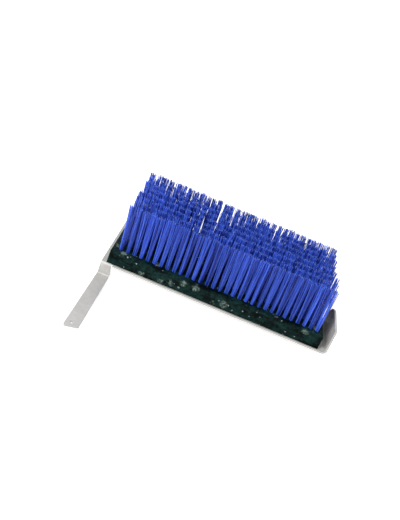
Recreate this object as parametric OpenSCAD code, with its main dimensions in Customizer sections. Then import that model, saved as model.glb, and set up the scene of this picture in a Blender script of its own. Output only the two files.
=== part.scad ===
// Bracket-mounted scrubbing brush for pool and spa walls.
// A block of recycled plastic is screwed to a bent sheet-steel bracket and filled with tufts of stiff filament.
// Each tuft stands in a blind hole, on the flat wire staple that holds its fold.
// Millimetres. The origin is on the base plate's underside, under the middle of the block.
// +X runs along the brush to the ear, +Y runs to the back, away from the arm, and +Z runs up the tufts.

/* [Block] */
// Length of the block, along X
block_l = 300; // [200:1:400]
// Depth of the block, front to back
block_d = 150; // [115:1:220]
// Thickness of the block
block_t = 19; // [15:0.5:40]

/* [Tufts] */
// Height of the tufts above the block
tuft_h = 65; // [30:1:100]
// Distance between the tufts of one row
tuft_pitch = 9.3; // [7.5:0.05:14]
// How far the tufts stand to the right of the block's middle
tuft_shift = 1.3; // [-3:0.1:3]
// Width of each tuft hole
tuft_hole_d = 5.5; // [4:0.1:6]
// Width of a tuft at its trimmed tip
tuft_tip_d = 6.4; // [6:0.1:7.2]
// Least distance from the middle of an end tuft to the block's end
end_margin = 10; // [8:0.5:20]
// Distance from the middle of the front and back tufts to the block's edge
row_margin = 12.5; // [8:0.5:20]
// Plastic left under each tuft hole
hole_floor = 6; // [4:0.5:9]

/* [Bracket] */
// Thickness of the steel sheet
sheet_t = 2.5; // [2.4:0.1:4]
// How far the base plate runs past the block's left end
plate_overhang = 6.5; // [2:0.5:20]
// How far the base plate runs out in front of the block
plate_ledge = 2; // [0:0.5:10]

/* [Ear] */
// Height of the ear above the base plate
ear_h = 36.5; // [26:0.5:60]
// Length of the ear's straight top edge, before its round back end
ear_flat_l = 49.5; // [30:0.5:60]
// Distance from the block's right end to the middle of the ear's bend
ear_offset = 6; // [4:0.5:20]
// How far the ear leans in over the block, in degrees
ear_lean = 2; // [0:0.5:6]
// Inner radius of the ear's bend
ear_bend_r = 4; // [2:0.5:6]
// Radius of the ear's front top corner
ear_corner_r = 2; // [1:0.5:6]
// How far the ear's fixing hole stands behind its straight top edge
ear_hole_past = 7.5; // [-10:0.5:10]
// Height of the ear's fixing hole above the base plate
ear_hole_up = 15; // [12:0.5:18]

/* [Arm] */
// Length of the arm, from the front of the base plate to the arm's tip
arm_l = 131.5; // [60:0.5:250]
// Width of the arm at its root
arm_w = 16.5; // [15:0.5:30]
// Width of the arm at its tip
arm_tip_w = 18; // [15:0.5:30]
// How far the arm's tip stands to the left of its root
arm_splay = 2; // [0:0.5:6]
// Width of the arm's neck, where it leaves the base plate
neck_w = 14.5; // [10:0.5:15]
// Height from the arm's top face up to the base plate's underside
arm_drop = 15.5; // [6:0.5:50]
// Inner radius of the arm's two bends
arm_bend_r = 1.5; // [1:0.5:2.5]
// How much further the arm's left corner reaches than its right corner
arm_tip_skew = 6; // [0:0.5:6]
// Radius of the corners at the arm's tip
arm_corner_r = 2.5; // [1:0.5:4]
// Distance from the arm's tip to its fixing hole
arm_hole_in = 10; // [6:0.5:15]
// Distance from the arm's left corner to its fixing hole, across the arm
arm_hole_side = 8; // [5:0.5:9]

/* [Fasteners] */
// Width of the fixing holes in the ear and the arm
fixing_hole_d = 4.5; // [3:0.5:7]
// Length of the block screws
screw_l = 16; // [10:1:17]
// Width of the block screws' shanks
screw_d = 4.2; // [3:0.1:4.2]
// Distance from the block's ends to the outer block screws
screw_end_in = 25; // [15:1:60]

/* [Hidden] */
$fn = 96;
arc_steps = 24;

steel_colour = [0.78, 0.79, 0.78];
block_colour = [0.10, 0.20, 0.19];
tuft_colour = [0.10, 0.22, 0.78];
wire_colour = [0.70, 0.68, 0.60];

rows = 8;
block_z = sheet_t;
block_top = block_z + block_t;
row_pitch = (block_d - 2 * row_margin) / (rows - 1);
columns = floor((block_l - 2 * end_margin) / tuft_pitch) + 1;

tuft_side_gap = 0.05;
tuft_seat_gap = 0.1;
tuft_r = tuft_hole_d / 2 - tuft_side_gap;
tuft_hole_z = block_z + hole_floor;

staple_w = tuft_hole_d - 0.3;
staple_h = 1.8;
staple_t = 0.5;
staple_z = tuft_hole_z + tuft_seat_gap;
tuft_foot_z = staple_z + staple_h + tuft_seat_gap;

plate_front = -block_d / 2 - plate_ledge;
plate_back = block_d / 2;
plate_left = -block_l / 2 - plate_overhang;
bend_x = block_l / 2 + ear_offset;
bend_z = sheet_t + ear_bend_r;
ear_l = (ear_h - ear_bend_r - (ear_bend_r + sheet_t) * sin(ear_lean)) / cos(ear_lean);
ear_end_gap = 0.5;
ear_end_r = ear_h - ear_bend_r - ear_end_gap;
ear_d = ear_flat_l + ear_end_r;
ear_reach = 2 * (ear_bend_r + sheet_t);

arm_bend_outer_r = arm_bend_r + sheet_t;
relief_w = 1.5;
relief_back = 1;

screw_x = [-block_l / 2 + screw_end_in, 0, block_l / 2 - screw_end_in];
screw_y = [for (side = [-1, 1]) side * row_pitch * (rows / 2 - 1)];
screw_head_d = screw_d + 3.8;
screw_head_sink = 0.1;
screw_point_l = 3;
plate_hole_gap = 0.2;
pilot_gap = 0.05;
drive_l = screw_head_d / 2;
drive_w = 0.9;
drive_deep = 1.4;
skim = 0.5;

// A curved stretch of sheet in the XY plane, extruded along Z.
// It starts at the angle start and turns through sweep about the origin.
module bend(inner_r, start, sweep, width) {
  rotate([0, 0, start])
    rotate_extrude(angle = sweep)
      translate([inner_r, 0])
        square([sheet_t, width]);
}

// Turns a shape drawn in XY so that it is drawn in YZ, and its extrusion runs along +X.
module along_x() {
  rotate([90, 0, 90])
    children();
}

// Turns a shape drawn in XY so that it is drawn in XZ, and its extrusion runs along +Y over the given depth.
module along_y(depth) {
  translate([0, depth, 0])
    rotate([90, 0, 0])
      children();
}

function unit(v) = v / norm(v);

// Points of an arc about centre, from one angle to the other.
function arc(centre, r, from, to) =
  [for (step = [0 : arc_steps])
    let (angle = from + (to - from) * step / arc_steps)
      centre + r * [cos(angle), sin(angle)]];

// Points that round one corner of an anticlockwise outline, between the corners before and after it.
function rounded(before, corner, after, r) =
  let (
    to_before = unit(before - corner),
    to_after = unit(after - corner),
    half = acos(to_before * to_after) / 2,
    centre = corner + r / sin(half) * unit(to_before + to_after),
    first = corner + r / tan(half) * to_before - centre,
    from = atan2(first[1], first[0])
  )
  arc(centre, r, from, from + 180 - 2 * half);

// A block screw's clearance hole with its countersink, which opens downwards.
module screw_hole() {
  head_r = screw_head_d / 2 + plate_hole_gap;
  shank_r = screw_d / 2 + plate_hole_gap;
  translate([0, 0, -skim])
    cylinder(r = shank_r, h = sheet_t + 2 * skim);
  cylinder(r1 = head_r, r2 = shank_r, h = head_r - shank_r);
  translate([0, 0, -skim])
    cylinder(r = head_r, h = skim);
}

// Puts its children at each block screw.
module at_screws() {
  for (x = screw_x, y = screw_y)
    translate([x, y, 0])
      children();
}

// The flat plate under the block. The arm's bend takes the place of its front left corner.
module base_plate() {
  difference() {
    translate([plate_left, plate_front, 0])
      cube([bend_x - plate_left, plate_back - plate_front, sheet_t]);
    translate([plate_left - skim, plate_front - skim, -skim])
      cube([neck_w + skim, arm_bend_outer_r + skim, sheet_t + 2 * skim]);
    translate([plate_left + neck_w - skim, plate_front - skim, -skim])
      cube([relief_w + skim, arm_bend_outer_r + relief_back + skim, sheet_t + 2 * skim]);
    at_screws()
      screw_hole();
  }
}

// The ear and its bend, seen along the brush's depth. The bend starts on the base plate's end.
module ear_profile() {
  lean = [cos(ear_lean), sin(ear_lean)];
  rise = [-sin(ear_lean), cos(ear_lean)];
  centre = [bend_x, bend_z];
  polygon(concat(
    arc(centre, ear_bend_r + sheet_t, -90, ear_lean),
    [centre + (ear_bend_r + sheet_t) * lean + ear_l * rise, centre + ear_bend_r * lean + ear_l * rise],
    arc(centre, ear_bend_r, ear_lean, -90)
  ));
}

// What is cut away to round one end of the ear's top edge.
module ear_corner_cut(r) {
  translate([bend_x - ear_reach, 0, sheet_t + ear_h - r])
    along_x()
      linear_extrude(2 * ear_reach)
        difference() {
          translate([-skim, 0])
            square([r + skim, r + skim]);
          translate([r, 0])
            circle(r = r);
        }
}

// The ear at the right end, with its bend and fixing hole. Its back end is a quarter round.
module ear() {
  difference() {
    translate([0, plate_front, 0])
      along_y(ear_d)
        linear_extrude(ear_d)
          ear_profile();
    translate([0, plate_front, 0])
      ear_corner_cut(ear_corner_r);
    translate([0, plate_front + ear_d, 0])
      mirror([0, 1, 0])
        ear_corner_cut(ear_end_r);
    translate([bend_x, plate_front + ear_flat_l + ear_hole_past, bend_z])
      rotate([0, -ear_lean, 0])
        translate([0, 0, (ear_hole_up - ear_bend_r) / cos(ear_lean)])
          along_x()
            cylinder(d = fixing_hole_d, h = ear_reach);
  }
}

// The arm: a bend down, a short drop that widens, a bend forwards and a long flat strip with a fixing hole.
module arm() {
  lower_bend_z = arm_bend_r - arm_drop;
  translate([plate_left, plate_front, 0]) {
    translate([0, arm_bend_outer_r, -arm_bend_r])
      along_x()
        bend(arm_bend_r, 90, 90, neck_w);
    along_y(sheet_t)
      linear_extrude(sheet_t)
        polygon([[0, -arm_bend_r], [neck_w, -arm_bend_r], [arm_w, lower_bend_z], [0, lower_bend_z]]);
    translate([0, -arm_bend_r, lower_bend_z])
      along_x()
        bend(arm_bend_r, 270, 90, arm_w);
    translate([0, 0, -arm_drop - sheet_t])
      difference() {
        linear_extrude(sheet_t)
          arm_outline();
        translate([arm_hole_side - arm_splay, arm_hole_in - arm_l, -skim])
          cylinder(d = fixing_hole_d, h = sheet_t + 2 * skim);
      }
  }
}

// The flat strip of the arm in plan, with a slanted tip and two rounded corners.
module arm_outline() {
  root_left = [0, -arm_bend_r];
  root_right = [arm_w, -arm_bend_r];
  tip_left = [-arm_splay, -arm_l];
  tip_right = [arm_tip_w - arm_splay, arm_tip_skew - arm_l];
  polygon(concat(
    [root_right, root_left],
    rounded(root_left, tip_left, tip_right, arm_corner_r),
    rounded(tip_left, tip_right, root_right, arm_corner_r)
  ));
}

// The bracket is bent from one strip of sheet.
module bracket() {
  color(steel_colour)
    union() {
      base_plate();
      ear();
      arm();
    }
}

// Puts its children at each tuft of a row. Row 1 is the front row.
module along_row(row) {
  for (column = [0 : columns - 1])
    translate([
      (column - (columns - 1) / 2) * tuft_pitch + tuft_shift,
      (row - (rows + 1) / 2) * row_pitch,
      0
    ])
      children();
}

// The block, with a blind hole for each tuft and a pilot hole for each screw.
module brush_block() {
  color(block_colour)
    difference() {
      translate([-block_l / 2, -block_d / 2, block_z])
        cube([block_l, block_d, block_t]);
      for (row = [1 : rows])
        along_row(row)
          translate([0, 0, tuft_hole_z])
            cylinder(d = tuft_hole_d, h = block_t);
      at_screws()
        translate([0, 0, block_z - skim])
          cylinder(r = screw_d / 2 + pilot_gap, h = screw_l - block_z + 2 * skim);
    }
}

// One tuft, from its fold on top of the staple to its trimmed tip. It is one cone, which just fills its hole's mouth.
module tuft() {
  flare = (tuft_tip_d / 2 - tuft_r) / tuft_h;
  foot_r = tuft_r - flare * (block_top - tuft_foot_z);
  translate([0, 0, tuft_foot_z])
    cylinder(r1 = foot_r, r2 = tuft_tip_d / 2, h = block_top + tuft_h - tuft_foot_z);
}

module tuft_row(row) {
  color(tuft_colour)
    along_row(row)
      tuft();
}

// The flat wire staples that hold the tufts of one row.
module staple_row(row) {
  color(wire_colour)
    along_row(row)
      translate([-staple_w / 2, -staple_t / 2, staple_z])
        cube([staple_w, staple_t, staple_h]);
}

// A countersunk screw with a cross recess. It is driven up through the base plate into the block.
module block_screw() {
  head_h = (screw_head_d - screw_d) / 2;
  difference() {
    translate([0, 0, screw_head_sink]) {
      cylinder(d1 = screw_head_d, d2 = screw_d, h = head_h);
      cylinder(d = screw_d, h = screw_l - screw_point_l);
      translate([0, 0, screw_l - screw_point_l])
        cylinder(d1 = screw_d, d2 = screw_d / 4, h = screw_point_l);
    }
    for (turn = [0, 90])
      rotate([0, 0, turn])
        translate([-drive_l / 2, -drive_w / 2, 0])
          cube([drive_l, drive_w, drive_deep]);
  }
}

module block_screws() {
  color(steel_colour)
    at_screws()
      block_screw();
}

bracket();
brush_block();
tuft_row(1);  // tuft_row_1
tuft_row(2);  // tuft_row_2
tuft_row(3);  // tuft_row_3
tuft_row(4);  // tuft_row_4
tuft_row(5);  // tuft_row_5
tuft_row(6);  // tuft_row_6
tuft_row(7);  // tuft_row_7
tuft_row(8);  // tuft_row_8
staple_row(1);  // staple_row_1
staple_row(2);  // staple_row_2
staple_row(3);  // staple_row_3
staple_row(4);  // staple_row_4
staple_row(5);  // staple_row_5
staple_row(6);  // staple_row_6
staple_row(7);  // staple_row_7
staple_row(8);  // staple_row_8
block_screws();
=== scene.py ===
import math
import random

import bpy
import numpy as np
from mathutils import Matrix, Vector, noise


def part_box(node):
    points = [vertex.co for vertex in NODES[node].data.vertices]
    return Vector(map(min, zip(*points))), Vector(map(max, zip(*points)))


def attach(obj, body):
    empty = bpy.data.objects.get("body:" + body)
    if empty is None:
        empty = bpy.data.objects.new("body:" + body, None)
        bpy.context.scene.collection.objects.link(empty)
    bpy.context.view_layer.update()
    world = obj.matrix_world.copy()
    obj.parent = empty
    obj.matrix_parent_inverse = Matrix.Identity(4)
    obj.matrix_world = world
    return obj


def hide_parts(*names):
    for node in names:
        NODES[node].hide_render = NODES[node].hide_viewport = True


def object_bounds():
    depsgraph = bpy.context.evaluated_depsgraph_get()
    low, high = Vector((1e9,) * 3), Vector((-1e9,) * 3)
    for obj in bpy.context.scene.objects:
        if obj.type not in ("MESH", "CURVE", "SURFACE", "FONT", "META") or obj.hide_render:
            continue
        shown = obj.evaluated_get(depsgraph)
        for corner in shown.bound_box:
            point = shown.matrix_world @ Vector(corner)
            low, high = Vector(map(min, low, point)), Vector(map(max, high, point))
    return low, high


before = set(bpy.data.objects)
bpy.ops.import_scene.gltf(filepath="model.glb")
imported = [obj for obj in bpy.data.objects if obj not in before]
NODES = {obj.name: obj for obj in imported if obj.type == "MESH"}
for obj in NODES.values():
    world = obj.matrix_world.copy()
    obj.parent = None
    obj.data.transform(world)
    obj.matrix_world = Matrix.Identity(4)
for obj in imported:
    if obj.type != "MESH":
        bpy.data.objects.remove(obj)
cad_low, cad_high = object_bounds()
MM = 0.001

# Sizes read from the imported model.
block_low, block_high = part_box("brush_block")
plate_low, plate_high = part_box("bracket")
TUFT_ROWS = sorted(name for name in NODES if name.startswith("tuft_row_"))
STAPLE_ROWS = sorted(name for name in NODES if name.startswith("staple_row_"))
BLOCK_TOP = block_high.z
TIP_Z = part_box(TUFT_ROWS[0])[1].z


# ---------------------------------------------------------------- camera

CAMERA_AZIMUTH = math.radians(-2.15)
CAMERA_ELEVATION = math.radians(27.9)
CAMERA_ROLL = math.radians(23.63)
CAMERA_DISTANCE = 929.4 * MM
CAMERA_LENS = 46.9
# The point the camera faces, from the middle of the block
AIM_FROM_BLOCK = Vector((-36.5, -14.96, 14.7)) * MM


def make_camera():
    """The camera looks from the front and above, close in, with its head tilted to one side."""
    data = bpy.data.cameras.new("camera")
    data.lens = CAMERA_LENS
    data.clip_start = 10 * MM
    data.clip_end = 20
    camera = bpy.data.objects.new("camera", data)
    bpy.context.scene.collection.objects.link(camera)
    flat = math.cos(CAMERA_ELEVATION)
    back = Vector((
        math.sin(CAMERA_AZIMUTH) * flat,
        -math.cos(CAMERA_AZIMUTH) * flat,
        math.sin(CAMERA_ELEVATION)))
    level_right = Vector((0, 0, 1)).cross(back).normalized()
    level_up = back.cross(level_right)
    right = math.cos(CAMERA_ROLL) * level_right + math.sin(CAMERA_ROLL) * level_up
    up = back.cross(right)
    turn = Matrix((right, up, back)).transposed().to_4x4()
    aim = (block_low + block_high) / 2 + AIM_FROM_BLOCK
    camera.matrix_world = Matrix.Translation(aim + back * CAMERA_DISTANCE) @ turn
    bpy.context.scene.camera = camera


# ---------------------------------------------------------------- node helpers

def new_material(name):
    """A new material with its node tree and its Principled shader."""
    material = bpy.data.materials.new(name)
    material.use_nodes = True
    tree = material.node_tree
    return material, tree, tree.nodes["Principled BSDF"]


def add(tree, kind, values=None, **settings):
    """A new node, with its settings and the values of its free sockets."""
    node = tree.nodes.new(kind)
    for key, value in settings.items():
        setattr(node, key, value)
    for key, value in (values or {}).items():
        node.inputs[key].default_value = value
    return node


def join(tree, source, target):
    """A link from an output to an input."""
    tree.links.new(source, target)


def place(tree, stretch=(1, 1, 1)):
    """Object coordinates in metres, multiplied by stretch."""
    coordinates = add(tree, "ShaderNodeTexCoord")
    mapping = add(tree, "ShaderNodeMapping", {"Scale": stretch})
    join(tree, coordinates.outputs["Object"], mapping.inputs["Vector"])
    return mapping.outputs["Vector"]


def noise_value(tree, vector, scale, detail=3.0, roughness=0.55):
    """A noise that runs from 0 to 1."""
    node = add(tree, "ShaderNodeTexNoise", {"Scale": scale, "Detail": detail, "Roughness": roughness})
    join(tree, vector, node.inputs["Vector"])
    return node.outputs["Fac"]


def ramp(tree, value, low, high, from_colour, to_colour):
    """A colour that goes from one to the other while value goes from low to high."""
    node = add(tree, "ShaderNodeValToRGB")
    start, end = node.color_ramp.elements
    start.position = low
    start.color = (*from_colour, 1)
    end.position = high
    end.color = (*to_colour, 1)
    join(tree, value, node.inputs["Fac"])
    return node.outputs["Color"]


def remap(tree, value, low, high, to_low, to_high):
    """A number moved from one range to another and kept inside it."""
    node = add(tree, "ShaderNodeMapRange", {
        "From Min": low, "From Max": high, "To Min": to_low, "To Max": to_high})
    join(tree, value, node.inputs["Value"])
    return node.outputs["Result"]


def mix_colour(tree, factor, first, second):
    """Mixes two colours, each an output or three numbers."""
    node = add(tree, "ShaderNodeMix", data_type="RGBA")
    join(tree, factor, node.inputs[0])
    for colour, socket in ((first, node.inputs[6]), (second, node.inputs[7])):
        if isinstance(colour, tuple):
            socket.default_value = (*colour, 1)
        else:
            join(tree, colour, socket)
    return node.outputs[2]


def arithmetic(tree, kind, first, second):
    """A Math node on two values, each an output or a number."""
    node = add(tree, "ShaderNodeMath", operation=kind)
    for value, socket in ((first, node.inputs[0]), (second, node.inputs[1])):
        if isinstance(value, (int, float)):
            socket.default_value = value
        else:
            join(tree, value, socket)
    return node.outputs[0]


def bump(tree, height, distance, strength, shader):
    """Raises the surface by height, over distance in metres."""
    node = add(tree, "ShaderNodeBump", {"Distance": distance, "Strength": strength})
    join(tree, height, node.inputs["Height"])
    join(tree, node.outputs["Normal"], shader.inputs["Normal"])


# ---------------------------------------------------------------- materials

STEEL_DULL = (0.44, 0.43, 0.405)
STEEL_PALE = (0.56, 0.55, 0.525)
STEEL_SPANGLE = (0.37, 0.375, 0.38)
STEEL_GRAIN = (0.60, 0.59, 0.57)
SCREW_COLOUR = (0.60, 0.61, 0.62)
STAPLE_COLOUR = (0.58, 0.56, 0.50)
PLASTIC_DARK = (0.0004, 0.0020, 0.0020)
PLASTIC_LIGHT = (0.009, 0.036, 0.032)
FLAKE_COLOUR = (0.26, 0.36, 0.32)
# Painted highlight: small pale spots stand for glints of light on the block.
PAINTED_GLINT_COLOUR = (0.42, 0.52, 0.48)
# Painted shade: the darkest filaments stand for the shade in the gaps between filaments.
FILAMENT_DARK_PAINTED_SHADE = (0.003, 0.014, 0.20)
FILAMENT_LIGHT = (0.080, 0.190, 1.0)
FILAMENT_STREAK = (0.015, 0.05, 0.42)
# Painted highlight: the paler colour of the cut tips stands for light falling on their ends.
FILAMENT_TIP_HIGHLIGHT = (0.24, 0.42, 1.0)
# Texture sizes below are waves to a metre, since object coordinates are in metres.


def sheet_steel():
    """Mill-finish sheet: a soft grey sheen, a grain along X, faint smudges and a few scratches."""
    material, tree, shader = new_material("sheet_steel")
    shader.inputs["Metallic"].default_value = 0.15
    smudge = noise_value(tree, place(tree), scale=24.0, detail=4.0)
    spangle = noise_value(tree, place(tree), scale=230.0)
    grain = noise_value(tree, place(tree, (0.03, 1, 1)), scale=1400.0, detail=2.0)
    colour = ramp(tree, smudge, 0.32, 0.68, STEEL_DULL, STEEL_PALE)
    colour = mix_colour(tree, remap(tree, spangle, 0.40, 0.62, 0.0, 0.30), colour, STEEL_SPANGLE)
    colour = mix_colour(tree, remap(tree, grain, 0.45, 0.75, 0.0, 0.25), colour, STEEL_GRAIN)
    join(tree, colour, shader.inputs["Base Color"])
    smudge_rough = remap(tree, smudge, 0.3, 0.7, 0.34, 0.46)
    grain_rough = remap(tree, grain, 0.3, 0.7, 0.0, 0.10)
    join(tree, arithmetic(tree, "ADD", smudge_rough, grain_rough), shader.inputs["Roughness"])
    scratch = noise_value(tree, place(tree, (0.05, 1, 1)), scale=420.0, detail=1.0)
    height = arithmetic(tree, "ADD", grain, remap(tree, scratch, 0.66, 0.70, 0.0, 0.8))
    bump(tree, height, 0.03 * MM, 0.35, shader)
    return material


def fastener_steel(name, colour, roughness):
    """Plain bright steel with faint dull patches."""
    material, tree, shader = new_material(name)
    shader.inputs["Metallic"].default_value = 1.0
    patches = noise_value(tree, place(tree), scale=700.0)
    dark = tuple(0.8 * channel for channel in colour)
    join(tree, ramp(tree, patches, 0.35, 0.65, dark, colour), shader.inputs["Base Color"])
    join(tree, remap(tree, patches, 0.3, 0.7, roughness, roughness + 0.12), shader.inputs["Roughness"])
    bump(tree, patches, 0.02 * MM, 0.3, shader)
    return material


def chosen_cells(tree, vector, scale, share, reach, soft):
    """A mask of single blobs, one in each of a share of the cells of a random pattern."""
    cells = add(tree, "ShaderNodeTexVoronoi", {"Scale": scale, "Randomness": 1.0})
    join(tree, vector, cells.inputs["Vector"])
    lot = add(tree, "ShaderNodeSeparateColor")
    join(tree, cells.outputs["Color"], lot.inputs["Color"])
    is_chosen = arithmetic(tree, "LESS_THAN", lot.outputs["Red"], share)
    inside = remap(tree, cells.outputs["Distance"], reach, reach + soft, 1.0, 0.0)
    return arithmetic(tree, "MULTIPLY", is_chosen, inside)


def warped_place(tree, scale, reach):
    """Object coordinates pushed about by a noise, which makes blobs ragged."""
    warp = add(tree, "ShaderNodeTexNoise", {"Scale": scale, "Detail": 3.0})
    join(tree, place(tree), warp.inputs["Vector"])
    shift = add(tree, "ShaderNodeVectorMath", operation="MULTIPLY_ADD")
    join(tree, warp.outputs["Color"], shift.inputs[0])
    shift.inputs[1].default_value = (reach, reach, reach)
    join(tree, place(tree), shift.inputs[2])
    return shift.outputs["Vector"]


def recycled_plastic():
    """Black-green board pressed from mixed chips: marbling, pale flakes, painted glints and a chipped
    surface.
    """
    material, tree, shader = new_material("recycled_plastic")
    broad = noise_value(tree, place(tree, (0.7, 1, 1.3)), scale=80.0, detail=4.0, roughness=0.6)
    fine = noise_value(tree, place(tree), scale=330.0, detail=4.0, roughness=0.65)
    broad_part = arithmetic(tree, "MULTIPLY", broad, 0.6)
    fine_part = arithmetic(tree, "MULTIPLY", fine, 0.4)
    marble = arithmetic(tree, "ADD", broad_part, fine_part)
    colour = ramp(tree, marble, 0.44, 0.62, PLASTIC_DARK, PLASTIC_LIGHT)

    wisps = noise_value(tree, warped_place(tree, 90.0, 0.02), scale=420.0, roughness=0.7)
    flake_place = warped_place(tree, 200.0, 0.010)
    flakes = chosen_cells(tree, flake_place, scale=70.0, share=0.34, reach=0.20, soft=0.22)
    flakes = arithmetic(tree, "MULTIPLY", flakes, remap(tree, wisps, 0.40, 0.64, 0.0, 0.9))
    colour = mix_colour(tree, flakes, colour, FLAKE_COLOUR)
    # Painted highlight: a few small pale spots in the colour stand for glints of light.
    painted_glint_place = warped_place(tree, 500.0, 0.004)
    painted_glints = chosen_cells(tree, painted_glint_place, scale=290.0, share=0.045, reach=0.26, soft=0.10)
    colour = mix_colour(tree, arithmetic(tree, "MULTIPLY", painted_glints, 0.65), colour, PAINTED_GLINT_COLOUR)
    join(tree, colour, shader.inputs["Base Color"])

    chipped = noise_value(tree, place(tree), scale=210.0, detail=5.0, roughness=0.7)
    saw = noise_value(tree, place(tree, (1, 1, 0.06)), scale=900.0, detail=2.0)
    join(tree, remap(tree, chipped, 0.35, 0.65, 0.42, 0.75), shader.inputs["Roughness"])
    shader.inputs["Specular IOR Level"].default_value = 0.05
    height = arithmetic(tree, "ADD", chipped, arithmetic(tree, "MULTIPLY", saw, 0.25))
    bump(tree, height, 2.0 * MM, 0.9, shader)
    return material


def blue_filament():
    """Stiff blue filament: a tone to each one, the darkest standing as painted shade, and a painted
    highlight on the cut tips.
    """
    material, tree, shader = new_material("blue_filament")
    shade = add(tree, "ShaderNodeAttribute", attribute_name="shade")
    cut = add(tree, "ShaderNodeAttribute", attribute_name="cut")
    # Each filament's tone from its shade attribute; the dark end is painted shade.
    colour = ramp(tree, shade.outputs["Fac"], 0.0, 1.0, FILAMENT_DARK_PAINTED_SHADE, FILAMENT_LIGHT)
    streak = noise_value(tree, place(tree, (1, 1, 0.06)), scale=900.0, detail=2.0)
    colour = mix_colour(tree, remap(tree, streak, 0.35, 0.65, 0.0, 0.25), colour, FILAMENT_STREAK)
    # Painted highlight on the cut tips.
    colour = mix_colour(tree, arithmetic(tree, "MULTIPLY", cut.outputs["Fac"], 0.55), colour, FILAMENT_TIP_HIGHLIGHT)
    join(tree, colour, shader.inputs["Base Color"])
    join(tree, remap(tree, streak, 0.3, 0.7, 0.30, 0.45), shader.inputs["Roughness"])
    shader.inputs["Specular IOR Level"].default_value = 0.45
    bump(tree, streak, 0.03 * MM, 0.3, shader)
    return material


def dress(node_name, material):
    """Gives every slot of a CAD node the material."""
    mesh = NODES[node_name].data
    for index in range(len(mesh.materials)):
        mesh.materials[index] = material


# ---------------------------------------------------------------- mesh helpers

def new_piece(name, verts, faces, material, replaced, flat_faces=()):
    """A new mesh piece that rides on the brush and stands for a CAD node."""
    mesh = bpy.data.meshes.new(name)
    mesh.from_pydata(verts, [], faces)
    mesh.materials.append(material)
    smooth = np.ones(len(faces), bool)
    smooth[list(flat_faces)] = False
    mesh.polygons.foreach_set("use_smooth", smooth)
    mesh.update()
    piece = bpy.data.objects.new(name, mesh)
    bpy.context.scene.collection.objects.link(piece)
    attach(piece, "root")
    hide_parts(replaced)
    return piece


# Less than the space between two tufts of a row, and more than the steps round one tuft
TUFT_SPACE = 2 * MM


def tuft_centres(node_name):
    """The middles of a CAD row's tufts, from left to right."""
    co = np.array([v.co for v in NODES[node_name].data.vertices])
    xs = np.sort(co[:, 0])
    groups = np.split(xs, np.where(np.diff(xs) > TUFT_SPACE)[0] + 1)
    y = (co[:, 1].min() + co[:, 1].max()) / 2
    return [Vector(((group[0] + group[-1]) / 2, y)) for group in groups]


ROW_CENTRES = [tuft_centres(name) for name in TUFT_ROWS]


# ---------------------------------------------------------------- block

HOLE_R = 2.75 * MM
HOLE_RIM = 0.3 * MM
HOLE_DEEP = 9.0 * MM
# Steps along each side of a tuft's cell, and down the block's sides
SIDE_STEPS = 6
SIDE_LEVELS = 7
EDGE_R = 0.7 * MM
SAW_ROUGH = 0.35 * MM
# Waves to a metre of the broad and the fine roughness of the sawn sides
SAW_BROAD = 260
SAW_FINE = 900
SAME_PLACE = 1e-9


class Mesh:
    """Vertices and faces, where two points at one place are one vertex."""

    def __init__(self):
        self.verts = []
        self.faces = []
        self.known = {}

    def point(self, x, y, z):
        """The number of the vertex at a place, which is made if it is new."""
        key = (round(x * 1e7), round(y * 1e7), round(z * 1e7))
        if key not in self.known:
            self.known[key] = len(self.verts)
            self.verts.append((x, y, z))
        return self.known[key]

    def band(self, outer, inner):
        """Joins two closed rings of vertices with a strip of faces."""
        count = len(outer)
        for i in range(count):
            j = (i + 1) % count
            self.faces.append((outer[i], outer[j], inner[j], inner[i]))


def between(values, low, high):
    """The borders of cells around sorted values: the midpoints, with both ends."""
    return [low] + [(a + b) / 2 for a, b in zip(values, values[1:])] + [high]


def cell_border(x0, x1, y0, y1):
    """Points round a cell, anticlockwise from its low corner, with SIDE_STEPS to each side."""
    corners = [(x0, y0), (x1, y0), (x1, y1), (x0, y1)]
    points = []
    for (ax, ay), (bx, by) in zip(corners, corners[1:] + corners[:1]):
        for step in range(SIDE_STEPS):
            t = step / SIDE_STEPS
            points.append((ax + (bx - ax) * t, ay + (by - ay) * t))
    return points


def drilled_top(mesh, x_lines, y_lines, z):
    """The block's top face, one cell to each tuft, with a chamfered blind hole in each cell."""
    for row, centres in enumerate(ROW_CENTRES):
        for column, centre in enumerate(centres):
            border = cell_border(*x_lines[column:column + 2], *y_lines[row:row + 2])
            count = len(border)
            turns = [math.radians(-135 + 360 * i / count) for i in range(count)]
            rings = [[mesh.point(x, y, z) for x, y in border]]
            steps_down = (HOLE_R + HOLE_RIM, z), (HOLE_R, z - HOLE_RIM), (HOLE_R, z - HOLE_DEEP)
            for radius, height in steps_down:
                ring = []
                for turn in turns:
                    x = centre.x + radius * math.cos(turn)
                    y = centre.y + radius * math.sin(turn)
                    ring.append(mesh.point(x, y, height))
                rings.append(ring)
            for outer, inner in zip(rings, rings[1:]):
                mesh.band(outer, inner)
            mesh.faces.append(tuple(rings[-1]))


def block_border(x_lines, y_lines):
    """Points round the whole block, anticlockwise from its low corner."""
    def steps(lines):
        return [
            a + (b - a) * step / SIDE_STEPS
            for a, b in zip(lines, lines[1:])
            for step in range(SIDE_STEPS)]

    front = [(x, y_lines[0]) for x in steps(x_lines)]
    right = [(x_lines[-1], y) for y in steps(y_lines)]
    back = [(x, y_lines[-1]) for x in steps(x_lines[::-1])]
    left = [(x_lines[0], y) for y in steps(y_lines[::-1])]
    return front + right + back + left


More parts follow.
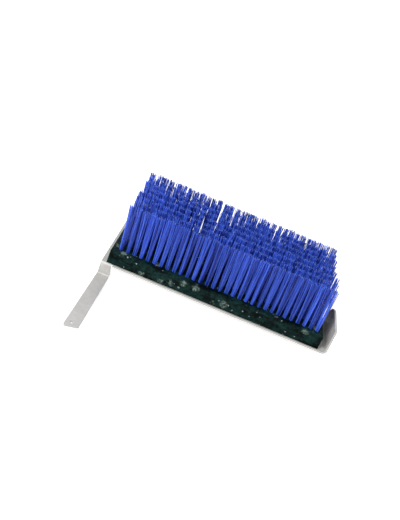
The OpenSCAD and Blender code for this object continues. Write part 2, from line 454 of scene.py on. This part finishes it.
def sawn(x, y, z, middle):
    """A point on the block's sawn side, pushed in a little at random."""
    broad = noise.noise(Vector((x, y, z * 2.5)) * SAW_BROAD)
    fine = noise.noise(Vector((x, y, z)) * SAW_FINE)
    depth = SAW_ROUGH * (0.5 + 0.5 * (broad + 0.6 * fine))
    nearer_x = abs(abs(x - middle.x) - (block_high.x - middle.x)) < EDGE_R
    nearer_y = abs(abs(y - middle.y) - (block_high.y - middle.y)) < EDGE_R
    if nearer_x:
        x -= math.copysign(depth, x - middle.x)
    if nearer_y:
        y -= math.copysign(depth, y - middle.y)
    return x, y, z


def make_block(material):
    """The sawn block with its drilled holes, eased edges and slightly rough sides."""
    mesh = Mesh()
    low, high = block_low, block_high
    middle = (low + high) / 2
    x_lines = between([c.x for c in ROW_CENTRES[0]], low.x + EDGE_R, high.x - EDGE_R)
    y_lines = between([centres[0].y for centres in ROW_CENTRES], low.y + EDGE_R, high.y - EDGE_R)
    drilled_top(mesh, x_lines, y_lines, high.z)
    border = block_border(x_lines, y_lines)
    # Each level is how far it stands in from the sides, and its height.
    levels = []
    for turn in (math.radians(45), math.radians(90)):
        levels.append((EDGE_R * (1 - math.sin(turn)), high.z - EDGE_R * (1 - math.cos(turn))))
    straight = low.z - high.z + 2 * EDGE_R
    for step in range(1, SIDE_LEVELS + 1):
        levels.append((0.0, high.z - EDGE_R + straight * step / SIDE_LEVELS))
    levels.append((EDGE_R * 0.3, low.z + EDGE_R * 0.3))
    levels.append((EDGE_R, low.z))
    rings = [[mesh.point(x, y, high.z) for x, y in border]]
    for inset, z in levels:
        grown = EDGE_R - inset
        ring = []
        for x, y in border:
            at_x = min(abs(x - x_lines[0]), abs(x - x_lines[-1])) < SAME_PLACE
            at_y = min(abs(y - y_lines[0]), abs(y - y_lines[-1])) < SAME_PLACE
            px = x + math.copysign(grown, x - middle.x) if at_x else x
            py = y + math.copysign(grown, y - middle.y) if at_y else y
            ring.append(mesh.point(*sawn(px, py, z, middle)))
        rings.append(ring)
    for upper, lower in zip(rings, rings[1:]):
        mesh.band(lower, upper)
    mesh.faces.append(tuple(reversed(rings[-1])))
    new_piece("block_body", mesh.verts, mesh.faces, material, "brush_block")


# ---------------------------------------------------------------- tufts

FILAMENT_R = 0.40 * MM
FILAMENT_SIDES = 6
FILAMENT_LEVELS = 6
ROOT_DEEP = 7.0 * MM
# Distance between neighbouring filaments at the hole, and how many times wider they stand at the tips
PACKING = 1.10 * MM
TIP_SPREAD = 1.90
TIP_SPREAD_SCATTER = 0.28
REACH_SCATTER = 0.12
TIP_SCATTER = 0.55 * MM
TRIM_SCATTER = 0.9 * MM
# How far a tuft's tip leans to the left, and how unevenly
LEAN_X = -3.4 * MM
LEAN_SCATTER = 0.9 * MM
LEAN_CURVE = 1.4
BOW = 0.5 * MM
# The shade runs from 0, dark, to 1, light: a tone to each filament, the dark end painted shade between
# filaments.
TUFT_SHADE_SCATTER = 0.12
SHADE_STEPS = (-0.45, 0.05, 0.4)
SHADE_SCATTER = 0.08
FIRST_SEED = 100


def packed_circle():
    """Nineteen places packed in a circle: one, then six, then twelve round it."""
    places = []
    for q in range(-2, 3):
        for r in range(-2, 3):
            if abs(q + r) <= 2:
                places.append(Vector((q + r / 2, r * math.sqrt(3) / 2)) * PACKING)
    return places


def filament(verts, faces, caps, marks, root, tip, bow, shade):
    """One filament: a bent tube from root to tip with a cut end."""
    start = len(verts)
    for level in range(FILAMENT_LEVELS):
        t = level / (FILAMENT_LEVELS - 1)
        middle = root.lerp(tip, t)
        drift = t ** LEAN_CURVE - t
        leaning = Vector((tip.x - root.x, tip.y - root.y, 0))
        middle = middle + leaning * drift + bow * math.sin(math.pi * t)
        for side in range(FILAMENT_SIDES):
            turn = 2 * math.pi * side / FILAMENT_SIDES
            x = middle.x + FILAMENT_R * math.cos(turn)
            y = middle.y + FILAMENT_R * math.sin(turn)
            verts.append((x, y, middle.z))
            marks.append((shade, 0.0))
    for level in range(FILAMENT_LEVELS - 1):
        lower = start + level * FILAMENT_SIDES
        upper = lower + FILAMENT_SIDES
        for side in range(FILAMENT_SIDES):
            after = (side + 1) % FILAMENT_SIDES
            faces.append((lower + side, lower + after, upper + after, upper + side))
    last = verts[-FILAMENT_SIDES:]
    cap = len(verts)
    verts.extend(last)
    # The caps are marked 1 for the painted highlight of the cut tips.
    marks.extend([(shade, 1.0)] * FILAMENT_SIDES)
    caps.append(len(faces))
    faces.append(tuple(range(cap, cap + FILAMENT_SIDES)))


def make_tuft_row(index, material):
    """One row of tufts, filament by filament, trimmed level."""
    chance = random.Random(FIRST_SEED + index)
    verts, faces, caps, marks = [], [], [], []
    for centre in ROW_CENTRES[index]:
        turned = chance.uniform(0, math.pi / 3)
        lean = Vector((LEAN_X + chance.gauss(0, LEAN_SCATTER), chance.gauss(0, LEAN_SCATTER)))
        tuft_shade = chance.uniform(-TUFT_SHADE_SCATTER, TUFT_SHADE_SCATTER)
        spread = TIP_SPREAD + chance.uniform(-TIP_SPREAD_SCATTER, TIP_SPREAD_SCATTER)
        for place_in in packed_circle():
            place_in = Matrix.Rotation(turned, 2) @ place_in
            reach = spread + chance.gauss(0, REACH_SCATTER)
            stray = Vector((chance.gauss(0, TIP_SCATTER), chance.gauss(0, TIP_SCATTER)))
            root = Vector((centre.x + place_in.x, centre.y + place_in.y, BLOCK_TOP - ROOT_DEEP))
            tip_at = Vector((centre.x, centre.y)) + place_in * reach + lean + stray
            tip = Vector((tip_at.x, tip_at.y, TIP_Z - abs(chance.gauss(0, TRIM_SCATTER))))
            bow = Vector((chance.gauss(0, BOW), chance.gauss(0, BOW), 0))
            # A tone to each filament; the darkest step is painted shade between filaments.
            shade = 0.5 + tuft_shade + chance.choice(SHADE_STEPS) + chance.gauss(0, SHADE_SCATTER)
            filament(verts, faces, caps, marks, root, tip, bow, min(max(shade, 0.0), 1.0))
    name = TUFT_ROWS[index]
    new_name = name.replace("tuft_row", "filament_row")
    piece = new_piece(new_name, verts, faces, material, name, caps)
    # The attributes carry each filament's tone and painted shade, and the painted highlight of its cut tip.
    for column, attribute in enumerate(("shade", "cut")):
        layer = piece.data.attributes.new(attribute, "FLOAT", "POINT")
        layer.data.foreach_set("value", [mark[column] for mark in marks])


# ---------------------------------------------------------------- bracket

SHEET_EDGE_R = 0.35 * MM
# Steeper folds than this are sheared edges, and get the easing. The smooth bends don't.
SHEARED_ANGLE = math.radians(50)


def finish_bracket(material):
    """The bracket keeps its CAD shape, with its sheared edges slightly eased."""
    dress("bracket", material)
    easing = NODES["bracket"].modifiers.new("eased_edges", "BEVEL")
    easing.width = SHEET_EDGE_R
    easing.segments = 2
    easing.limit_method = "ANGLE"
    easing.angle_limit = SHEARED_ANGLE
    easing.harden_normals = True


# ---------------------------------------------------------------- surroundings

SHEET = 2.5 * MM
FLOOR_HALF = 15.0
FLOOR_GAP = 0.2 * MM
FLOOR_GREY = 0.80
# The floor's own white, near the brush. It grows to 1 between these distances from the origin, in metres.
FLOOR_LIFT = 0.72
FADE_START = 0.4
FADE_END = 2.5
SKY_LIGHT = 0.36
FOOT_TOLERANCE = 0.1 * MM


def shown_white(tree):
    """1 for a ray from the camera or off a shiny surface, which shows the background, and 0 for the rest."""
    path = add(tree, "ShaderNodeLightPath")
    seen = arithmetic(tree, "MAXIMUM", path.outputs["Is Camera Ray"], path.outputs["Is Glossy Ray"])
    return arithmetic(tree, "MAXIMUM", seen, path.outputs["Is Transmission Ray"])


def resting_plane():
    """Where the brush would rest: on the foot of its arm and on the back edge of its base plate."""
    places = [v.co for v in NODES["bracket"].data.vertices]
    foot_y = max(place_in.y for place_in in places if place_in.z < plate_low.z + FOOT_TOLERANCE)
    slope = (block_low.z - SHEET - plate_low.z) / (plate_high.y - foot_y)
    return foot_y, slope


def make_floor():
    """A plain white floor under the brush, which keeps the brush's shadow."""
    foot_y, slope = resting_plane()
    middle = (cad_low + cad_high) / 2
    verts = []
    for sx, sy in ((-1, -1), (1, -1), (1, 1), (-1, 1)):
        y = middle.y + sy * FLOOR_HALF
        verts.append((middle.x + sx * FLOOR_HALF, y, plate_low.z - FLOOR_GAP + slope * (y - foot_y)))
    mesh = bpy.data.meshes.new("floor")
    mesh.from_pydata(verts, [], [(0, 1, 2, 3)])
    floor = bpy.data.objects.new("floor", mesh)
    bpy.context.scene.collection.objects.link(floor)

    material, tree, shader = new_material("floor_white")
    shader.inputs["Base Color"].default_value = (FLOOR_GREY, FLOOR_GREY, FLOOR_GREY, 1)
    shader.inputs["Roughness"].default_value = 0.9
    shader.inputs["Specular IOR Level"].default_value = 0.1
    shader.inputs["Emission Color"].default_value = (1, 1, 1, 1)
    distance = add(tree, "ShaderNodeVectorMath", operation="LENGTH")
    join(tree, place(tree), distance.inputs[0])
    lift = remap(tree, distance.outputs["Value"], FADE_START, FADE_END, FLOOR_LIFT, 1.0)
    join(tree, arithmetic(tree, "MULTIPLY", shown_white(tree), lift), shader.inputs["Emission Strength"])
    # Seen from below, the floor is clear, so that the brush's underside shows.
    underside = add(tree, "ShaderNodeNewGeometry")
    clear = add(tree, "ShaderNodeBsdfTransparent")
    either = add(tree, "ShaderNodeMixShader")
    join(tree, underside.outputs["Backfacing"], either.inputs[0])
    join(tree, shader.outputs["BSDF"], either.inputs[1])
    join(tree, clear.outputs["BSDF"], either.inputs[2])
    join(tree, either.outputs["Shader"], tree.nodes["Material Output"].inputs["Surface"])
    mesh.materials.append(material)


def make_world():
    """An even white surround, which shows as plain white."""
    world = bpy.data.worlds.new("surround")
    bpy.context.scene.world = world
    world.use_nodes = True
    tree = world.node_tree
    background = tree.nodes["Background"]
    background.inputs["Color"].default_value = (1, 1, 1, 1)
    shows = shown_white(tree)
    join(tree, remap(tree, shows, 0, 1, SKY_LIGHT, 1.0), background.inputs["Strength"])


# Each lamp's name, azimuth and elevation in degrees, distance and size in metres, and watts
LAMPS = (
    ("key", -30, 44, 1.6, 0.6, 15.5),
    ("left_fill", -48, 20, 1.8, 1.0, 14),
    ("back_fill", 150, 55, 1.6, 0.9, 4),
)


def make_lamp(name, azimuth, elevation, distance, size, watts):
    """A square soft light that faces the middle of the brush. Azimuth 0 is in front."""
    data = bpy.data.lights.new(name, "AREA")
    data.size = size
    data.energy = watts
    lamp = bpy.data.objects.new(name, data)
    a = math.radians(azimuth)
    e = math.radians(elevation)
    away = Vector((math.sin(a) * math.cos(e), -math.cos(a) * math.cos(e), math.sin(e)))
    lamp.location = (block_low + block_high) / 2 + away * distance
    lamp.rotation_mode = "QUATERNION"
    lamp.rotation_quaternion = away.to_track_quat("Z", "Y")
    bpy.context.scene.collection.objects.link(lamp)


# ---------------------------------------------------------------- build

make_camera()
bpy.context.scene.view_settings.view_transform = "Standard"

filament_material = blue_filament()
for row_index in range(len(TUFT_ROWS)):
    make_tuft_row(row_index, filament_material)
make_block(recycled_plastic())
finish_bracket(sheet_steel())
dress("block_screws", fastener_steel("screw_steel", SCREW_COLOUR, roughness=0.25))
staple_material = fastener_steel("staple_wire", STAPLE_COLOUR, roughness=0.35)
for staple_row in STAPLE_ROWS:
    dress(staple_row, staple_material)

make_floor()
make_world()
for lamp_values in LAMPS:
    make_lamp(*lamp_values)
